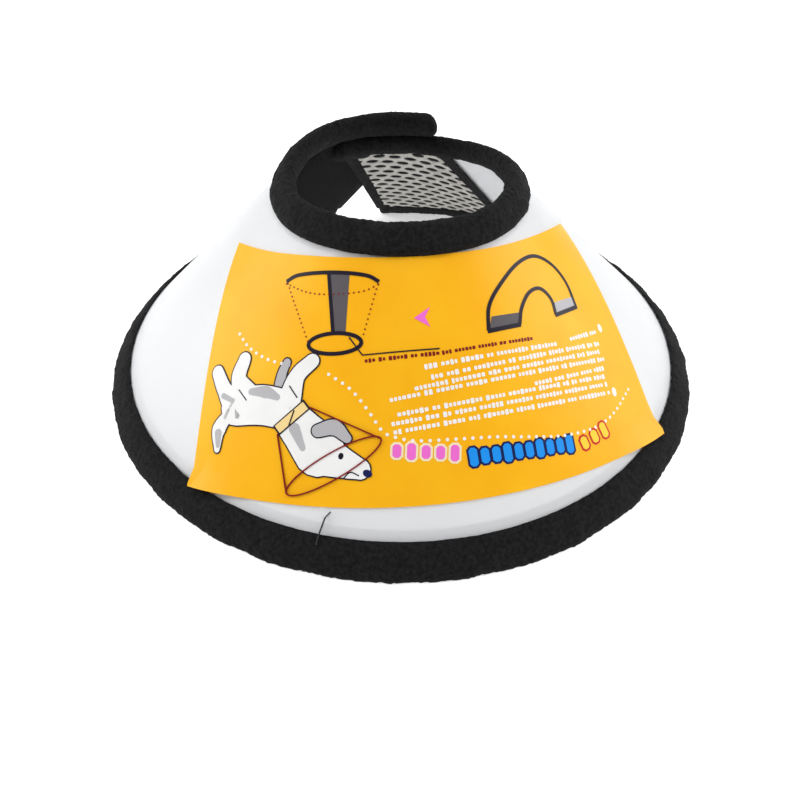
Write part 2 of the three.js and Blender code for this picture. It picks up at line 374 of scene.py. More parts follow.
def ends_of(zone_name):
    zone = ZONES[zone_name]
    start = level(zone["low"]) if zone["low"] is not None else lambda s: cut_turn(OUTER_CUT, s)
    end = level(zone["high"]) if zone["high"] is not None else lambda s: cut_turn(INNER_CUT, s)
    return start, end


def sheet_piece(zone_name):
    start, end = ends_of(zone_name)
    outline = band(SHEET_TOP, SHEET_BOTTOM, -SHEET_HALF, SHEET_HALF, 16)

    def place(slant, out, t):
        return wall(start(slant) * (1 - t) + end(slant) * t, slant, out)

    stations = stations_for(float(start(RIM_SLANT)), float(end(RIM_SLANT)), 2.5, RIM_SLANT)
    obj = sweep(f"sheet_{zone_name}", outline, stations, place, PLASTIC, rungs=True)
    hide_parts(f"{zone_name}_sheet")
    return attach(obj, zone_name)


def folded_outline(centre, half_length, half_thickness, edge, mouth, lean, count, hem_and_shade=0.0):
    """An oval of folded fabric with a slot for the sheet that opens at mouth, +1 or -1."""
    first = math.asin(SLOT / half_thickness)
    angles = np.linspace(first, 2 * math.pi - first, count)
    power = 2 / 2.4
    c, s = np.cos(angles), np.sin(angles)
    # hem: the real longer inner side, and a dark strip seen through the plastic as painted shade
    reach = half_length + hem_and_shade * ((s < 0) & (c > 0)) * np.clip(-s * 4, 0, 1)
    slants = centre + mouth * reach * np.sign(c) * np.abs(c) ** power
    outs = half_thickness * np.sign(s) * np.abs(s) ** power
    outs = outs + lean * np.maximum(0, mouth * (centre - slants))
    floor = edge - mouth * 0.4
    inner = [(floor, -SLOT), (floor, SLOT)]
    return np.array(list(zip(slants, outs)) + inner)


def outline_normals(outline):
    ahead, behind = np.roll(outline, -1, axis=0), np.roll(outline, 1, axis=0)
    along = ahead - behind
    normals = np.stack([along[:, 1], -along[:, 0]], axis=1)
    normals /= np.linalg.norm(normals, axis=1)[:, None]
    centre = outline.mean(0)
    if ((outline - centre) * normals).sum() < 0:
        normals = -normals
    return normals


def fleece_run(name, outline, stations, place, waves, material, size=None):
    """A run of fabric with a rough surface; size gives the outline's scale at each station."""
    outline = np.asarray(outline, float)
    centre = outline[:, 0].mean()
    normals = outline_normals(outline)

    def rough_place(a, b, t):
        grow_a, grow_b = size(t) if size else (1.0, 1.0)
        a, b = centre + (a - centre) * grow_a, b * grow_b
        height = rough(place(a, b, t), waves) * np.minimum(grow_a, grow_b)
        return place(a + height * normals[None, :, 0], b + height * normals[None, :, 1], t)

    return sweep(name, outline, stations, rough_place, material)


def end_size(distance, cap):
    """The scale that rounds a free end off over the last cap millimetres."""
    into = np.clip(distance / cap, 0.02, 1)
    return np.sqrt(1 - (1 - into) ** 2)


def edge_binding(kind, zone_name, outline, spacing, ends, cap, squash):
    """A zone's run of the neck or rim binding, between two turns."""
    centre = NECK_SLANT if kind == "neck" else RIM_SLANT
    zone = ZONES[zone_name]
    start = ends[0] if zone["low"] is None else zone["low"]
    end = ends[1] if zone["high"] is None else zone["high"]
    mm_per_turn = math.radians(1) * centre * SIN

    def size(t):
        turn = start * (1 - t) + end * t
        scale = np.ones_like(turn)
        if zone["low"] is None:
            scale = scale * end_size((turn - start) * mm_per_turn, cap)
        if zone["high"] is None:
            scale = scale * end_size((end - turn) * mm_per_turn, cap)
        pressed = smoothstep(np.abs(turn), 88, 135)
        return scale * (1 - squash[0] * pressed), scale * (1 - squash[1] * pressed)

    obj = fleece_run(f"{kind}_binding_{zone_name}", outline,
                     stations_for(start, end, spacing, centre),
                     lambda slant, out, t: wall(start * (1 - t) + end * t, slant, out),
                     FLEECE_WAVES, FLEECE, size)
    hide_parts(f"{zone_name}_{kind}_binding")
    attach(obj, zone_name)
    trims = [thread_tail()] if (kind, zone_name) == ("rim", "front") else []
    return obj


THREAD_RADIUS = 0.24
THREAD_TAIL = ((-12.5, 143.5, 2.0), (-12.45, 141.2, 1.9), (-12.2, 138.2, 1.2),
               (-12.0, 136.0, 0.8), (-11.25, 134.1, 0.9))     # turn, slant, offset


def thread_tail():
    """The loose end of sewing thread that sticks out of the rim binding."""
    turns, slants, outs = np.array(THREAD_TAIL).T
    known = np.linspace(0, 1, len(turns))
    angles = np.linspace(0, 2 * math.pi, 8, endpoint=False)
    outline = THREAD_RADIUS * np.stack([np.cos(angles), np.sin(angles)], axis=1)

    def place(across, out, t):
        slant = np.interp(t, known, slants)
        turn = np.interp(t, known, turns) + turn_of(across, slant)
        return wall(turn, slant, out + np.interp(t, known, outs))

    obj = sweep("rim_thread_tail", outline, np.linspace(0, 1, 40), place, THREAD)
    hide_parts("front_rim_binding")
    return attach(obj, "front")


def neck_binding(zone_name):
    # The inner side runs 1.5 mm further down the sheet, partly as painted shade below the binding.
    outline = folded_outline(NECK_SLANT, 5.0, 3.5, SHEET_TOP, 1, 0.25, 40, hem_and_shade=1.5)
    ends = OUTER_NECK_END, INNER_NECK_END + CORNER_COVER
    return edge_binding("neck", zone_name, outline, 0.6, ends, 4.5, (0.08, 0.22))


def rim_binding(zone_name):
    # The inner side runs 3 mm further up the sheet, partly as painted shade above the binding.
    outline = folded_outline(RIM_SLANT, 5.8, 1.9, SHEET_BOTTOM, -1, 0, 40, hem_and_shade=3.0)
    ends = float(cut_turn(OUTER_CUT, RIM_SLANT)), float(cut_turn(INNER_CUT, RIM_SLANT))
    return edge_binding("rim", zone_name, outline, 0.8, ends, 2.5, (0, 0))


# ---- the flaps' tapes ----------------------------------------------------------------------
TAPE_TOP, TAPE_BOTTOM = NECK_SLANT + 3.5, RIM_SLANT - 4.5    # tucked under the edge bindings
BORDER = 6.0
RIB_SLANT = 95           # where the ribs are as far apart as their pitch
RIB_PITCH, RIB_DEPTH, PILE_DEPTH = 1.25, 0.13, 0.10
HOOK_FACE, HOOK_PITCH, HOOK_HALF = 0.72, 1.7, 0.13
HOOK_PROFILE = ((0, -0.05), (0, 0.22), (0.16, 0.40), (0.42, 0.36))      # along, rise
LAP_PRESSED = 68, 74       # slants where the pile thickens again, below the lapping neck ends


def tape_length(cut, top, bottom):
    ends = [cut(top), cut(bottom)]
    turned = math.radians(float(ends[1] - ends[0]) * SIN)
    return math.sqrt(top ** 2 + bottom ** 2 - 2 * top * bottom * math.cos(turned))


def end_binding(zone_name, cut, inward, pressed):
    """A narrow tape folded over a flap's free end, flatter where the flaps' neck ends lap."""
    outline = folded_outline((BORDER - 1) / 2, (BORDER + 1) / 2, 1.25, 0.2, 1, 0, 26)
    top = TAPE_TOP - 1.5

    def place(across, out, t):
        slant = top * (1 - t) + TAPE_BOTTOM * t
        return wall(cut(slant) + inward * turn_of(across, slant), slant, out)

    def size(t):
        slant = top * (1 - t) + TAPE_BOTTOM * t
        return 1 + 0 * t, 1 - pressed * (1 - smoothstep(slant, *LAP_PRESSED))

    obj = fleece_run(f"end_binding_{zone_name}", outline, np.linspace(0, 1, 110), place,
                     TAPE_WAVES, FLEECE, size)
    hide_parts(f"{zone_name}_end_binding")
    attach(obj, zone_name)
    MM * tape_length(cut, top, TAPE_BOTTOM)


def side_border():
    """The flat tape that covers the mesh facing's inner edge."""
    half = BORDER / 2
    angles = np.linspace(0, 2 * math.pi, 28, endpoint=False)
    c, s = np.cos(angles), np.sin(angles)
    outline = np.stack([half * np.sign(c) * np.abs(c) ** 0.4,
                        0.42 * np.sign(s) * np.abs(s) ** 0.8], axis=1)

    def place(across, out, t):
        slant = TAPE_TOP * (1 - t) + TAPE_BOTTOM * t
        turn = cut_turn(MESH_CUT, slant) + turn_of(across - half + 0.6, slant)
        return wall(turn, slant, out - 1.15)

    obj = fleece_run("mesh_side_tape", outline, np.linspace(0, 1, 110), place, TAPE_WAVES, FLEECE)
    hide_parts("mesh_side_border")
    attach(obj, "inner_flap")
    return obj


def tape_patch(name, limits, start, end, relief, faces, across, material):
    """A tape laid on the sheet: faces are its two offsets, and relief shapes the first one."""
    top, bottom = limits
    outline = band(top, bottom, faces[0], faces[1], max(8, round((bottom - top) / 1.5)))
    exposed = faces[0]
    sign = 1 if faces[0] > faces[1] else -1

    def place(slant, out, t):
        turn = start(slant) * (1 - t) + end(slant) * t
        lift = np.where(np.broadcast_to(out, turn.shape) == exposed, sign, 0)
        return wall(turn, slant, out + lift * relief(turn, slant))

    stations = stations_for(float(start(bottom)), float(end(bottom)), across, bottom)
    return sweep(name, outline, stations, place, material, rungs=True)


def loop_tape():
    """Ribbed loop pile on the inside of the outer flap."""
    def ribs(turn, slant):
        flat_x = slant * np.radians((turn - PEEL_BEND) * SIN)
        pile = np.array([noise.noise(Vector((a / 0.9, b / 0.9, 0)))
                         for a, b in zip(flat_x.ravel(), (slant + 0 * turn).ravel())])
        pressed = smoothstep(-turn, 138, 150) * (1 - smoothstep(slant, *LAP_PRESSED))
        rib = np.cos(2 * math.pi * np.radians(turn - PEEL_BEND) * RIB_SLANT / RIB_PITCH)
        return RIB_DEPTH * rib + PILE_DEPTH * pile.reshape(turn.shape) - 0.45 * pressed

    limits = NECK_SLANT + 1, TAPE_BOTTOM
    obj = tape_patch("loop_pile_tape", limits,
                     lambda s: cut_turn(OUTER_CUT, s) + turn_of(2.5, s), level(LOOP_START), ribs,
                     (-1.0, -0.35), 0.3, LOOPS)
    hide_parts("loop_tape")
    attach(obj, "outer_flap")


def hook_tape():
    """Moulded hooks on the outside of the inner flap, hidden while the collar is closed."""
    limits = NECK_SLANT + 8.1, RIM_SLANT - 18.7
    def edge(slant):
        return cut_turn(INNER_CUT, slant) - turn_of(BORDER + 0.3, slant)
    base = tape_patch("hook_tape_base", limits, level(HOOK_START), edge,
                      lambda turn, slant: 0 * turn, (HOOK_FACE, 0.35), 1.5, HOOKS)
    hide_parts("hook_tape")
    attach(base, "inner_flap")
    ring = HOOK_HALF * np.array([(1, 1), (-1, 1), (-1, -1), (1, -1)])
    points, faces = [], []
    for slant in np.arange(limits[0] + 1, limits[1] - 1, HOOK_PITCH):
        for turn in np.arange(HOOK_START + float(turn_of(1.2, slant)), float(edge(slant)),
                              float(turn_of(HOOK_PITCH, slant))):
            first = len(points)
            for along, rise in HOOK_PROFILE:
                for a, b in ring:
                    points.append(wall(turn + turn_of(a, slant), slant + along + b,
                                       HOOK_FACE + rise))
            for row in range(3):
                for i in range(4):
                    j = (i + 1) % 4
                    k = first + row * 4
                    faces.append((k + i, k + j, k + 4 + j, k + 4 + i))
            faces.append((first + 3, first + 2, first + 1, first))
            faces.append(tuple(first + 12 + i for i in range(4)))
    hooks = new_object("hook_tape_hooks", np.array(points), faces, [HOOKS])
    bm = bmesh.new()
    bm.from_mesh(hooks.data)
    bmesh.ops.recalc_face_normals(bm, faces=bm.faces)
    bm.to_mesh(hooks.data)
    bm.free()
    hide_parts("hook_tape")
    attach(hooks, "inner_flap")


# ---- flat work: shapes laid out in the flat pattern, then rolled onto the wall -------------
def flat_to_wall(points, out, back=False):
    """Flat pattern points, measured from the cone's apex, onto the wall."""
    x, y = points[:, 0], points[:, 1]
    slant = np.hypot(x, y)
    turn = np.degrees(np.arctan2(x, y)) / SIN
    return wall(180 - turn if back else turn, slant, out)


def radial_cuts(bm, low, high, step=2.5):
    """Splits flat faces along lines from the apex, so that they can follow the cone."""
    for angle in np.arange(low, high, step):
        a = math.radians(angle)
        bmesh.ops.bisect_plane(bm, geom=bm.verts[:] + bm.edges[:] + bm.faces[:], dist=1e-5,
                               plane_co=(0, 0, 0), plane_no=(math.cos(a), -math.sin(a), 0))


def keep_between(bm, low, high):
    """Keeps the part of the flat faces between two flat angles."""
    for angle, side in ((low, -1), (high, 1)):
        a = math.radians(angle)
        bmesh.ops.bisect_plane(bm, geom=bm.verts[:] + bm.edges[:] + bm.faces[:], dist=1e-5,
                               plane_co=(0, 0, 0), clear_outer=True,
                               plane_no=(side * math.cos(a), -side * math.sin(a), 0))


def slabs(bm, low_of, high_of, back=False):
    """Closed slabs over flat faces. The two functions give offsets for points and a level."""
    layer = bm.faces.layers.int.get("level")
    bm.verts.index_update()
    flat = np.array([vert.co[:2] for vert in bm.verts]).reshape(-1, 2)
    levels = np.zeros(len(flat), int)
    faces, colours = [], []
    for face in bm.faces:
        ring = [vert.index for vert in face.verts]
        if layer:
            levels[ring] = face[layer]
        faces.append(ring)
        colours.append(face.material_index)
    count = len(flat)
    slant = np.hypot(flat[:, 0], flat[:, 1])
    low = flat_to_wall(flat, low_of(slant, levels), back)
    high = flat_to_wall(flat, high_of(slant, levels), back)
    out = [ring for ring in faces] + [[i + count for i in ring[::-1]] for ring in faces]
    colours = colours * 2
    for edge in bm.edges:
        if len(edge.link_faces) == 1:
            loop = edge.link_loops[0]
            a, b = loop.vert.index, loop.link_loop_next.vert.index
            out.append([b, a, a + count, b + count])
            colours.append(edge.link_faces[0].material_index)
    return np.concatenate([high, low]), out, colours


def slab_object(name, bm, low_of, high_of, materials, back=False):
    points, faces, colours = slabs(bm, low_of, high_of, back)
    obj = new_object(name, points, faces, materials, smooth=False)
    obj.data.polygons.foreach_set("material_index", colours)
    fixed = bmesh.new()
    fixed.from_mesh(obj.data)
    bmesh.ops.recalc_face_normals(fixed, faces=fixed.faces)
    fixed.to_mesh(obj.data)
    fixed.free()
    obj.data.polygons.foreach_set("use_smooth", [True] * len(obj.data.polygons))
    obj.data.set_sharp_from_angle(angle=math.radians(30))
    return obj


# ---- the knitted mesh facing ---------------------------------------------------------------
KNIT_ALONG, KNIT_DOWN = np.array((6.85, 2.4)), np.array((-3.35, 4.9))
HOLE = (2.9, 1.85)       # half length, half width
KNIT_FACE, KNIT_BACK = -1.05, -0.75
BACKING_FACE, BACKING_BACK = -0.70, -0.40


def knit_cell(bm, verts, centre):
    """One leaning cell of the knit, with an oval hole in its middle."""
    sides = [(i / 6, 0) for i in range(6)] + [(1, i / 4) for i in range(4)]
    sides += [(1 - i / 6, 1) for i in range(6)] + [(0, 1 - i / 4) for i in range(4)]
    outer = [centre + (a - 0.5) * KNIT_ALONG + (b - 0.5) * KNIT_DOWN for a, b in sides]
    along = KNIT_ALONG / np.linalg.norm(KNIT_ALONG)
    across = np.array((-along[1], along[0]))
    inner = []
    for point in outer:
        angle = math.atan2((point - centre) @ across / HOLE[1], (point - centre) @ along / HOLE[0])
        inner.append(centre + HOLE[0] * math.cos(angle) * along
                     + HOLE[1] * math.sin(angle) * across)

    def vert(point):
        key = round(float(point[0]), 3), round(float(point[1]), 3)
        if key not in verts:
            verts[key] = bm.verts.new((*point, 0))
        return verts[key]

    for i in range(len(outer)):
        j = (i + 1) % len(outer)
        bm.faces.new((vert(inner[i]), vert(inner[j]), vert(outer[j]), vert(outer[i])))


def mesh_facing():
    """Open knit over a black backing, on the inside of the inner flap."""
    bm = bmesh.new()
    verts = {}
    for row in range(-10, 50):
        for column in range(-20, 30):
            centre = column * KNIT_ALONG + row * KNIT_DOWN
            slant = math.hypot(*centre)
            if TAPE_TOP - 5 < slant < TAPE_BOTTOM + 5 and abs(centre[0]) < 70 and centre[1] > 20:
                knit_cell(bm, verts, centre)
    trim_facing(bm)
    loose = [f for f in bm.faces
             if not TAPE_TOP < f.calc_center_median().length < TAPE_BOTTOM]
    bmesh.ops.delete(bm, geom=loose, context="FACES")
    radial_cuts(bm, -25, 25)
    knit = slab_object("mesh_knit", bm, lambda s, level: KNIT_FACE + 0 * s,
                       lambda s, level: KNIT_BACK + 0 * s, [KNIT], back=True)
    bm.free()
    backing = backing_sheet()
    for obj in (knit, backing):
        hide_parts("mesh_facing")
        attach(obj, "inner_flap")
    # This area is the built backing's own, so it can't test the backing.
    side_border()


def trim_facing(bm):
    """Cuts the facing along the free end's line and along the side tape's line."""
    for cut, side, shift in ((INNER_CUT, 1, 1.5 - BORDER), (MESH_CUT, -1, -1.0)):
        lean = math.radians(cut["lean"])
        normal = Vector((-math.cos(lean), math.sin(lean), 0))
        bmesh.ops.bisect_plane(bm, geom=bm.verts[:] + bm.edges[:] + bm.faces[:], dist=1e-5,
                               plane_co=normal * (cut["miss"] + shift), plane_no=normal * side,
                               clear_outer=True)


def backing_sheet():
    bm = bmesh.new()
    rows = np.linspace(TAPE_TOP + 1, TAPE_BOTTOM - 1, 30)
    grid = [[bm.verts.new((s * math.sin(a), s * math.cos(a), 0))
             for a in np.radians(np.linspace(-26, 34, 41))] for s in rows]
    for above, below in zip(grid, grid[1:]):
        for i in range(40):
            bm.faces.new((above[i], above[i + 1], below[i + 1], below[i]))
    trim_facing(bm)
    obj = slab_object("mesh_backing", bm, lambda s, level: BACKING_FACE + 0 * s,
                      lambda s, level: BACKING_BACK + 0 * s, [FLEECE], back=True)
    bm.free()
    return obj


# ---- the printed card ----------------------------------------------------------------------
CARD_LOW, CARD_TOP = 0.32, 0.72
INK_RISE = 0.05
TILT = math.radians(CARD["tilt"])
ACROSS = np.array((math.cos(TILT), -math.sin(TILT)))
DOWN = np.array((math.sin(TILT), math.cos(TILT)))
CARD_ZONES = ("left_side", "front", "right_side")


def card_point(u, v):
    """Flat pattern point of the card's own u, to the right, and v, down, in millimetres."""
    u, v = np.asarray(u, float)[..., None], np.asarray(v, float)[..., None]
    return np.array((CARD["x"], -CARD["y"])) + ACROSS * u + DOWN * v


def card_lift(slant):
    """The card's bottom corners lie over the rim binding."""
    return smoothstep(slant, 136.5, 141.2) * 1.9


def card_blank():
    """The card's outline as a grid of flat faces."""
    bm = bmesh.new()
    columns, rows = 56, 14
    grid = []
    for i in range(rows + 1):
        v = i / rows
        width = CARD["top"] * (1 - v) + CARD["bottom"] * v
        bow = CARD["top_bow"] * (1 - v) + CARD["bottom_bow"] * v
        t = np.linspace(0, 1, columns + 1)
        points = card_point((t - 0.5) * width,
                            v * CARD["height"] + bow * (1 - (2 * t - 1) ** 2))
        grid.append([bm.verts.new((x, y, 0)) for x, y in points])
    for above, below in zip(grid, grid[1:]):
        for i in range(columns):
            bm.faces.new((above[i], above[i + 1], below[i + 1], below[i]))
    return bm


class Print:
    """Collects flat ink shapes, each with a colour and a level above the card."""

    def __init__(self):
        self.bm = bmesh.new()
        self.level = self.bm.faces.layers.int.new("level")
        self.colours = list(INKS)

    def face(self, points, colour, level=1):
        flat = card_point(*zip(*points))
        face = self.bm.faces.new([self.bm.verts.new((x, y, 0)) for x, y in flat])
        face.material_index = self.colours.index(colour)
        face[self.level] = level

    def strip(self, points, width, colour, level=1, closed=False):
        """A line of even width."""
        line = np.asarray(points, float)
        ahead = np.roll(line, -1, axis=0) - line
        if not closed:
            ahead[-1] = ahead[-2]
        ahead /= np.linalg.norm(ahead, axis=1)[:, None]
        behind = np.roll(ahead, 1, axis=0)
        if not closed:
            behind[0] = ahead[0]
        along = ahead + behind
        along /= np.linalg.norm(along, axis=1)[:, None]
        side = np.stack([-along[:, 1], along[:, 0]], axis=1) * width / 2
        rows = []
        for left, right in zip(line + side, line - side):
            flat = card_point(*zip(left, right))
            rows.append([self.bm.verts.new((x, y, 0)) for x, y in flat])
        pairs = list(zip(rows, rows[1:])) + ([(rows[-1], rows[0])] if closed else [])
        for (a, b), (c, d) in pairs:
            face = self.bm.faces.new((a, b, d, c))
            face.material_index = self.colours.index(colour)
            face[self.level] = level

    def dots(self, points, spacing, radius, colour, level=1):
        for x, y in along_line(points, spacing):
            self.face(ellipse(x, y, radius, radius, 0, 10), colour, level)


def along_line(points, spacing, smooth=True):
    """Evenly spaced points on a smooth line through some points."""
    line = curve_through(points) if smooth else np.asarray(points, float)
    steps = np.linalg.norm(np.diff(line, axis=0), axis=1)
    length = np.concatenate([[0], np.cumsum(steps)])
    at = np.arange(0, length[-1] + 1e-6, spacing)
    return np.stack([np.interp(at, length, line[:, k]) for k in (0, 1)], axis=1)


def curve_through(points, per_span=8, closed=False):
    """A Catmull-Rom line through the points."""
    p = np.asarray(points, float)
    if closed:
        p = np.concatenate([p[-1:], p, p[:2]])
    else:
        p = np.concatenate([[2 * p[0] - p[1]], p, [2 * p[-1] - p[-2]]])
    line = []
    for a, b, c, d in zip(p, p[1:], p[2:], p[3:]):
        for t in np.arange(per_span) / per_span:
            line.append(0.5 * (2 * b + (c - a) * t + (2 * a - 5 * b + 4 * c - d) * t * t
                               + (3 * b - a - 3 * c + d) * t ** 3))
    if not closed:
        line.append(p[-2])
    return np.array(line)


def ellipse(x, y, rx, ry, degrees=0, count=28):
    a = np.linspace(0, 2 * math.pi, count, endpoint=False)
    c, s = math.cos(math.radians(degrees)), math.sin(math.radians(degrees))
    px, py = rx * np.cos(a), ry * np.sin(a)
    return list(zip(x + px * c - py * s, y + px * s + py * c))


def rounded_block(x, y, width, height, degrees, corner):
    """A rectangle with cut corners, centred on x, y."""
    w, h, k = width / 2, height / 2, corner
    shape = [(-w + k, -h), (w - k, -h), (w, -h + k), (w, h - k), (w - k, h), (-w + k, h),
             (-w, h - k), (-w, -h + k)]
    c, s = math.cos(math.radians(degrees)), math.sin(math.radians(degrees))
    return [(x + a * c - b * s, y + a * s + b * c) for a, b in shape]


def block_row(page, ends, size, gap, colour, seed, level=1):
    """A line of small plain blocks in word-like groups, in place of printed text."""
    chance = random.Random(seed)
    (x0, y0), (x1, y1) = ends
    length = math.hypot(x1 - x0, y1 - y0)
    degrees = math.degrees(math.atan2(y1 - y0, x1 - x0))
    at, left = 0.0, chance.randint(2, 8)
    while at < length:
        width = size * chance.uniform(0.5, 0.75)
        height = size * chance.choice((0.72, 0.72, 0.78, 1.0))
        t = (at + width / 2) / length
        page.face(rounded_block(x0 + (x1 - x0) * t, y0 + (y1 - y0) * t, width, height, degrees,
                                0.12 * size), colour, level)
        at += width + gap
        left -= 1
        if left == 0:
            at += size * 0.55
            left = chance.randint(2, 9)


def cone_diagram(page):
    """The rolled collar as a diagram: a wide arc, dotted sides and a small ring."""
    arc = [(-42.4, 21.6), (-37.8, 20.6), (-26.9, 22.1), (-17.5, 24.5), (-13.8, 26.9)]
    page.face([(-28.3, 22.3), (-22.1, 23.7), (-24.9, 40.3), (-28.6, 40.1)], "grey", 1)
    page.strip(curve_through(arc), 1.1, "black", 3)
    page.strip([(-28.3, 22.3), (-28.6, 40.1)], 1.1, "black", 2)
    page.dots([(-42.4, 22.4), (-35.4, 26.6), (-27.7, 28.6), (-19.1, 29.1), (-13.9, 27.7)],
              1.5, 0.26, "wine", 2)
    page.dots([(-41.9, 22.5), (-39.2, 31.9), (-36.5, 41.3)], 1.5, 0.26, "wine", 2)
    page.dots([(-14.2, 27.6), (-17.2, 35.1), (-20.2, 42.7)], 1.5, 0.26, "wine", 2)
    page.strip(ellipse(-28.5, 43.1, 7.9, 3.0, 5, 40), 1.15, "black", 2, closed=True)
    page.strip([(-24, 41.9), (-20.7, 47.5), (1.3, 47.9)], 0.4, "black", 3)
    block_row(page, ((-20.2, 49.3), (1.2, 49.2)), 1.25, 0.3, "wine", 3)
    block_row(page, ((1.9, 49.2), (31.5, 46.6)), 1.25, 0.3, "wine", 4)


def strip_diagram(page):
    """The open collar as a diagram: a half ring with shaded feet."""
    outer = [(16.5, 43.7), (17.6, 36.5), (22.2, 30.0), (29.6, 23.4), (37.8, 20.3), (45.5, 22.4),
             (50.4, 28.0), (52.2, 36.5)]
    inner = [(41.8, 39.3), (41.2, 34.6), (38.6, 31.6), (35.6, 31.0), (31.8, 32.9), (28.6, 37.3),
             (27.1, 42.2)]
    page.face([(18.0, 39.6), (27.4, 38.6), (27.1, 42.0), (16.9, 43.3)], "grey", 1)
    page.face([(42.3, 35.3), (51.6, 32.9), (52.0, 36.3), (41.9, 39.0)], "silver", 1)
    page.strip(curve_through(outer), 1.15, "black", 2)
    page.strip(curve_through(inner), 1.15, "black", 2)
    page.strip([(16.2, 43.9), (27.4, 42.3)], 1.3, "black", 3)
    page.strip([(41.5, 39.5), (52.5, 36.3)], 1.3, "black", 3)


def text_rows(page):
    """Nine lines of plain blocks, two bullets and a small pointer."""
    rows = [((45.7, 47.2), (58.8, 44.6)), ((-3.6, 52.8), (40.6, 48.5)),
            ((-2.0, 55.9), (58.8, 48.6)), ((-7.0, 58.7), (58.8, 51.2)),
            ((-14.3, 61.2), (58.9, 53.8)), ((29.4, 60.3), (58.2, 56.8)),
            ((-12.6, 65.5), (57.4, 59.5)), ((-14.5, 68.0), (58.0, 62.0)),
            ((-14.2, 70.4), (57.6, 64.8))]
    for number, ends in enumerate(rows):
        block_row(page, ends, 1.55, 0.33, "white", 20 + number)
    for x, y in ((61.9, 43.1), (60.8, 64.6)):
        page.face(ellipse(x, y, 1.0, 1.45), "white", 1)
    page.face([(-5.0, 38.5), (-0.2, 35.7), (-1.9, 38.5), (-0.7, 41.4)], "pink", 2)


def title_blocks(page):
    """Three groups of bold outlined blocks, in place of a title."""
    groups = ((3, (52.6, 76.2), (44.2, 79.4), 4.4, -20, "red", "yellow"),
              (10, (38.6, 79.2), (7.6, 79.6), 4.9, -3, "navy", "blue"),
              (5, (2.4, 77.9), (-13.8, 75.6), 4.3, 8, "pale", "pink"))
    for count, start, end, height, degrees, edge, fill in groups:
        for i in range(count):
            t = i / (count - 1)
            x, y = (start[k] * (1 - t) + end[k] * t for k in (0, 1))
            tall = height + (0.9 if i % 3 == 0 else 0)
            page.face(rounded_block(x, y, 3.7, tall + 0.7, degrees, 1.0), edge, 1)
            page.face(rounded_block(x, y, 2.5, tall - 0.5, degrees, 0.7), fill, 2)


def dotted_frame(page):
    """A line of white dots that sets the picture apart from the text."""
    page.dots([(-60.3, 34.6), (-56.7, 39.6), (-50.2, 44.5), (-42.9, 47.5)], 2.45, 0.5, "white")
    page.dots([(-31, 51.8), (-25, 56.9), (-20.7, 63.4), (-17.1, 69.8), (-12.8, 72.1),
               (-7.5, 73.4), (2.3, 74), (14.8, 74.6), (25.5, 75.7), (36.6, 76.5), (47.7, 75.5),
               (54.7, 73.3), (60, 70.3), (64.3, 67), (69.3, 63.3)], 2.45, 0.5, "white")


def limb(points, radii):
    """A rounded shape along a smooth line, as wide as the radii say."""
    line = curve_through(points)
    spread = np.interp(np.linspace(0, 1, len(line)), np.linspace(0, 1, len(radii)), radii)
    along = np.gradient(line, axis=0)
    along /= np.linalg.norm(along, axis=1)[:, None]
    side = np.stack([-along[:, 1], along[:, 0]], axis=1) * spread[:, None]
    ends = []
    for tip, direction, radius in ((line[-1], along[-1], spread[-1]),
                                   (line[0], -along[0], spread[0])):
        normal = np.array((-direction[1], direction[0]))
        angles = np.linspace(0, math.pi, 9)[1:-1]
        ends.append([tip + radius * (math.cos(a) * normal + math.sin(a) * direction)
                     for a in angles])
    shape = list(line + side) + ends[0] + list((line - side)[::-1]) + ends[1]
    return [(float(x), float(y)) for x, y in shape]


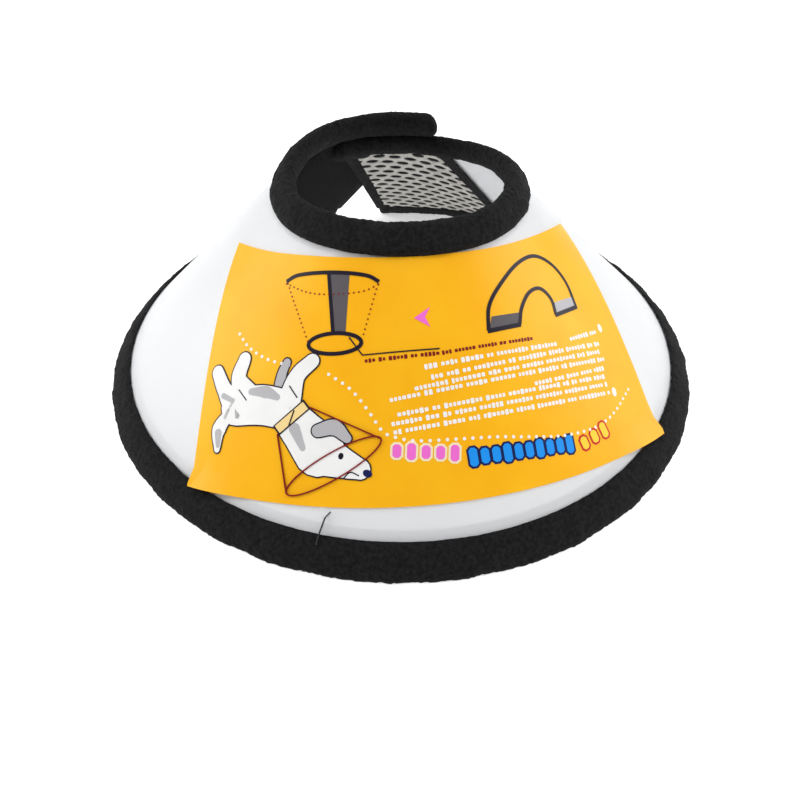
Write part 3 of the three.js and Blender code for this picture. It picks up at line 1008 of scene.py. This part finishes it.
def dog_picture(page):
    """A plain dog with a collar and a cone, made of simple rounded shapes."""
    page.face(limb([(-47, 56), (-45.5, 50), (-43.5, 46.5)], (2.4, 1.9, 1.6)), "black", 1)
    page.face(limb([(-47, 56), (-45.5, 50), (-43.5, 46.5)], (1.95, 1.45, 1.15)), "silver", 2)
    parts = (([(-62, 57), (-66, 51.5), (-68.8, 45.5)], (4.4, 2.6, 2.2)),
             ([(-57, 55.5), (-60.5, 49), (-58.2, 43.2)], (4.2, 2.7, 2.2)),
             ([(-43.5, 57.5), (-40.5, 51), (-35.5, 47.3)], (3.6, 2.4, 2.1)),
             ([(-64, 59), (-68.2, 63.5), (-69, 69.5)], (1.8, 2.5, 1.0)),
             ([(-61.5, 57.5), (-53, 58), (-46, 60)], (5.6, 5.9, 5.7)),
             ([(-45, 61), (-40.5, 67), (-36, 73)], (5.2, 6.2, 7.6)),
             ([(-33, 75.5), (-28, 78), (-24.6, 79.6)], (5.4, 3.9, 2.9)))
    for points, radii in parts:
        page.face(limb(points, [r + 0.42 for r in radii]), "black", 3)
    for points, radii in parts:
        page.face(limb(points, radii), "white", 4)
    patches = (([(-56, 53.6), (-51, 54.4), (-47.4, 56.4)], (1.0, 1.9, 1.0)),
               ([(-66.3, 53.4), (-62.8, 55.4)], (0.9, 0.7)),
               ([(-68.4, 64.6), (-68.6, 68.4)], (1.3, 0.7)),
               ([(-42.6, 66.2), (-40.6, 72)], (1.7, 0.9)))
    for points, radii in patches:
        page.face(limb(points, radii), "silver", 5)
    ear = [(-35.6, 67.6), (-30.8, 67.2), (-27.4, 70.6)]
    page.face(limb(ear, (2.2, 2.7, 1.7)), "black", 5)
    page.face(limb(ear, (1.8, 2.3, 1.3)), "silver", 6)
    page.face(ellipse(-29.6, 75.4, 0.75, 0.95, 20, 14), "black", 5)
    page.face(ellipse(-22.6, 81.0, 1.35, 1.05, 30, 16), "navy", 5)
    page.strip(curve_through([(-29.4, 81.6), (-27.4, 80.2), (-25.0, 81.4)]), 0.35, "black", 5)
    page.strip([(-57.8, 56.0), (-60.4, 52.4)], 0.38, "black", 5)
    page.strip([(-41.0, 57.4), (-43.2, 53.6)], 0.38, "black", 5)
    page.strip([(-48.3, 66.2), (-38.2, 59.6)], 3.4, "black", 6)
    page.strip([(-47.9, 65.9), (-38.6, 59.9)], 2.6, "cream", 7)
    page.strip([(-44.2, 65.2), (-42.2, 60.9)], 0.4, "black", 8)
    page.strip([(-48.0, 67.2), (-46.6, 84.2)], 0.42, "wine", 8)
    page.strip([(-37.4, 60.6), (-17.9, 71.6)], 0.42, "wine", 8)
    page.strip(ellipse(-32.2, 78.0, 15.7, 3.6, -24, 44), 0.42, "wine", 8, closed=True)


def on_card(name, bm, low_of, high_of, materials):
    """Splits flat shapes at the zones' edges and rolls each part onto the wall."""
    bmesh.ops.triangulate(bm, faces=[face for face in bm.faces if len(face.verts) > 4])
    for zone_name in CARD_ZONES:
        zone = ZONES[zone_name]
        part = bm.copy()
        keep_between(part, zone["low"] * SIN, zone["high"] * SIN)
        radial_cuts(part, -75, 75)
        if part.faces:
            obj = slab_object(f"{name}_{zone_name}", part, low_of, high_of, materials)
            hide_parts("printed_card")
            attach(obj, zone_name)
        part.free()
    bm.free()


def printed_card():
    on_card("card", card_blank(), lambda s, level: CARD_LOW + card_lift(s),
            lambda s, level: CARD_TOP + card_lift(s), [STOCK])
    page = Print()
    for draw in (cone_diagram, strip_diagram, text_rows, title_blocks, dotted_frame,
                 dog_picture):
        draw(page)
    on_card("print", page.bm, lambda s, level: CARD_TOP - 0.06 + card_lift(s),
            lambda s, level: CARD_TOP + INK_RISE * (level + 0.4) + card_lift(s),
            [INKS[colour] for colour in page.colours])


# ---- camera, light and floor ---------------------------------------------------------------
LENS, LOOK_DOWN = 24.5, 0.784                   # millimetres, radians
CAMERA_BACK, CAMERA_UP = 1.686, 1.298           # in rim radii, from the cone's axis


def camera():
    """Looks down on the front of the collar from close by."""
    data = bpy.data.cameras.new("camera")
    data.sensor_width = 36.0
    data.lens = LENS
    data.clip_start = 0.01
    obj = bpy.data.objects.new("camera", data)
    bpy.context.scene.collection.objects.link(obj)
    obj.location = (AXIS[0] - 0.0003, AXIS[1] - CAMERA_BACK * RIM_RADIUS * MM,
                    CAMERA_UP * RIM_RADIUS * MM - 0.0004)
    obj.rotation_euler = (math.pi / 2 - LOOK_DOWN, 0, 0)
    bpy.context.scene.camera = obj


def area_light(name, place, target, size, power):
    data = bpy.data.lights.new(name, "AREA")
    data.shape = "DISK"
    data.size = size
    data.energy = power
    obj = bpy.data.objects.new(name, data)
    bpy.context.scene.collection.objects.link(obj)
    obj.location = place
    aim = Vector(target) - Vector(place)
    obj.rotation_euler = aim.to_track_quat("-Z", "Y").to_euler()


def studio():
    scene = bpy.context.scene
    scene.view_settings.view_transform = "Standard"
    world = bpy.data.worlds.new("studio")
    world.use_nodes = True
    world.node_tree.nodes["Background"].inputs["Color"].default_value = (1, 1, 1, 1)
    world.node_tree.nodes["Background"].inputs["Strength"].default_value = 0.42
    scene.world = world
    middle = (AXIS[0], AXIS[1], 0.03)
    area_light("left", (-0.8, 0.1, 0.5), middle, 0.7, 5.0)
    area_light("right", (0.8, 0.1, 0.5), middle, 0.7, 5.0)
    area_light("top", (0.0, 0.0, 0.9), middle, 0.35, 1.7)


def floor():
    half = 3.0
    corners = [(-half, -half), (half, -half), (half, half), (-half, half)]
    points = np.array([(x, y, -0.0002) for x, y in corners])
    made = material("pale_floor", (0.92, 0.92, 0.92), 0.8, Emission_Strength=0.5,
                    Specular_IOR_Level=0.0)
    made.node_tree.nodes["Principled BSDF"].inputs["Emission Color"].default_value = (1, 1, 1, 1)
    obj = new_object("floor", points, [(0, 1, 2, 3)], [made])


camera()
studio()
floor()
for zone_name in ZONES:
    sheet_piece(zone_name)
    neck_binding(zone_name)
    rim_binding(zone_name)
end_binding("outer_flap", lambda s: cut_turn(OUTER_CUT, s), 1, 0.5)
end_binding("inner_flap", lambda s: cut_turn(INNER_CUT, s), -1, 0)
loop_tape()
hook_tape()
mesh_facing()
printed_card()
